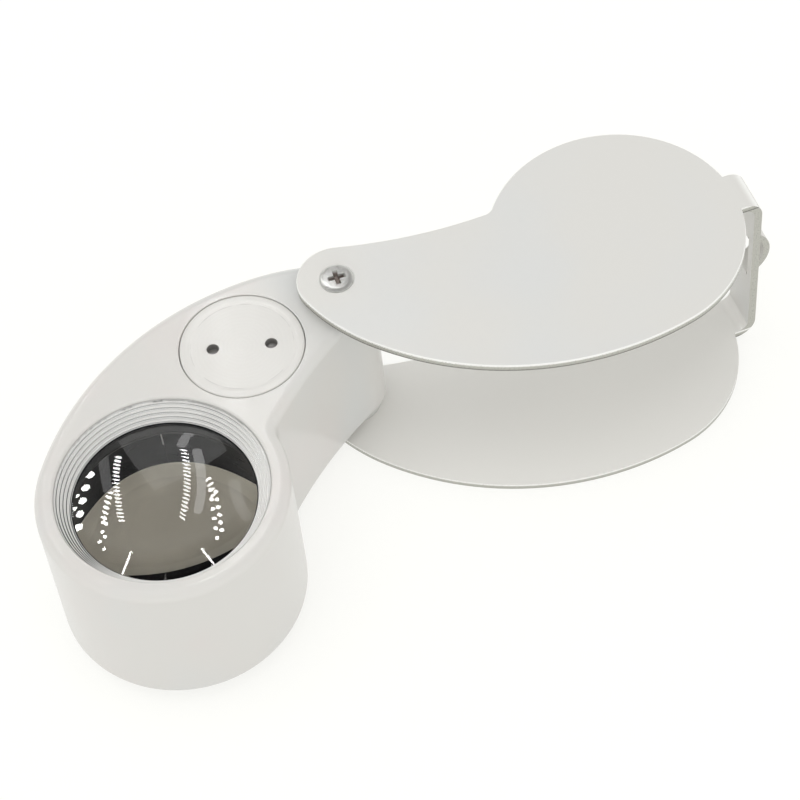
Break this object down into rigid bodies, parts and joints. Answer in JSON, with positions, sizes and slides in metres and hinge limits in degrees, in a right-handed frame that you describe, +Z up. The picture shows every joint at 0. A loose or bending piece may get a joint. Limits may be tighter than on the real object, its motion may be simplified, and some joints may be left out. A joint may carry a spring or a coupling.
{
  "type": "folding jeweler's loupe with light",
  "caption": "Folding pocket loupe, swung open: a lit barrel with a stepped eyepiece and a screwed battery lid, pivoted in a comma-shaped metal cover with a strap loop.",
  "frame": {"origin": "centre of the cover's round end, on the lower face of its lower plate", "axes": "+X from the pivot towards the centre of the cover's round end, +Z up out of the eyepiece along the barrel and the pivot, +Y towards the cover's hollow side"},
  "size_m": [0.0916, 0.0537, 0.0264],
  "materials": {
    "cover_metal": "satin, nickel plated",
    "screw_metal": "satin",
    "washer_plastic": "matt",
    "bush_brass": "turned",
    "body_paint": "fine silver paint",
    "eyepiece_metal": "turned, satin",
    "lens_glass": "polished, coated",
    "black_plastic": "matt",
    "tube_black": "glossy",
    "lamp_clear": "clear",
    "lamp_violet": "clear, tinted",
    "wire_red": "sleeved wire",
    "wire_black": "sleeved wire",
    "board_green": "satin",
    "resistor_body": "glossy",
    "sleeve_white": "matt",
    "spring_steel": "bright",
    "cell_steel": "bright",
    "seal_rubber": "matt",
    "switch_case": "matt"
  },
  "bodies": {
    "cover_body": {"cover": "cover_metal"},
    "loupe_body": {"pivot_screw_top": "screw_metal", "pivot_screw_bottom": "screw_metal", "pivot_bush": "bush_brass", "friction_washer_top": "washer_plastic", "friction_washer_bottom": "washer_plastic", "loupe_housing": "body_paint", "neck_base_plate": "body_paint", "base_plate_screws": "screw_metal", "eyepiece_ring": "eyepiece_metal", "eye_lens": "lens_glass", "lens_spacer": "black_plastic", "field_lens": "lens_glass", "lens_retainer": "black_plastic", "light_tube": "tube_black", "led_ring": "black_plastic", "white_led": "lamp_clear", "ultraviolet_led": "lamp_violet", "led_wires": "wire_red", "circuit_board": "board_green", "series_resistor": "resistor_body", "battery_sleeve": "sleeve_white", "battery_spring": "spring_steel", "button_cell_1": "cell_steel", "button_cell_2": "cell_steel", "button_cell_3": "cell_steel", "switch_case": "switch_case", "switch_wires": "wire_black"},
    "switch": {"switch_slider": "black_plastic", "switch_knob": "black_plastic"},
    "lid_contact": {"cap_contact": "spring_steel"},
    "lid": {"battery_cap": "body_paint", "cap_seal": "seal_rubber"}
  },
  "joints": [
    {"name": "loupe_swing", "type": "hinge", "parent": "cover_body", "child": "loupe_body", "pos_m": [-0.0335, 0, 0.013], "axis": [0, 0, 1], "continuous": true},
    {"name": "switch_slide", "type": "slide", "parent": "loupe_body", "child": "switch", "axis": [-0.8235, -0.5674, 0], "range_m": [-0.0015, 0.0015]},
    {"name": "lid_rise", "type": "slide", "parent": "loupe_body", "child": "lid_contact", "axis": [0, 0, 1], "range_m": [0, 0.0005]},
    {"name": "lid_turn", "type": "hinge", "parent": "lid_contact", "child": "lid", "pos_m": [-0.04578, -0.00578, 0.0225], "axis": [0, 0, 1], "range_deg": [0, 360]}
  ],
  "couplings": [
    {"joint": "lid_turn", "follows": "lid_rise", "rad_per_m": 12566}
  ]
}
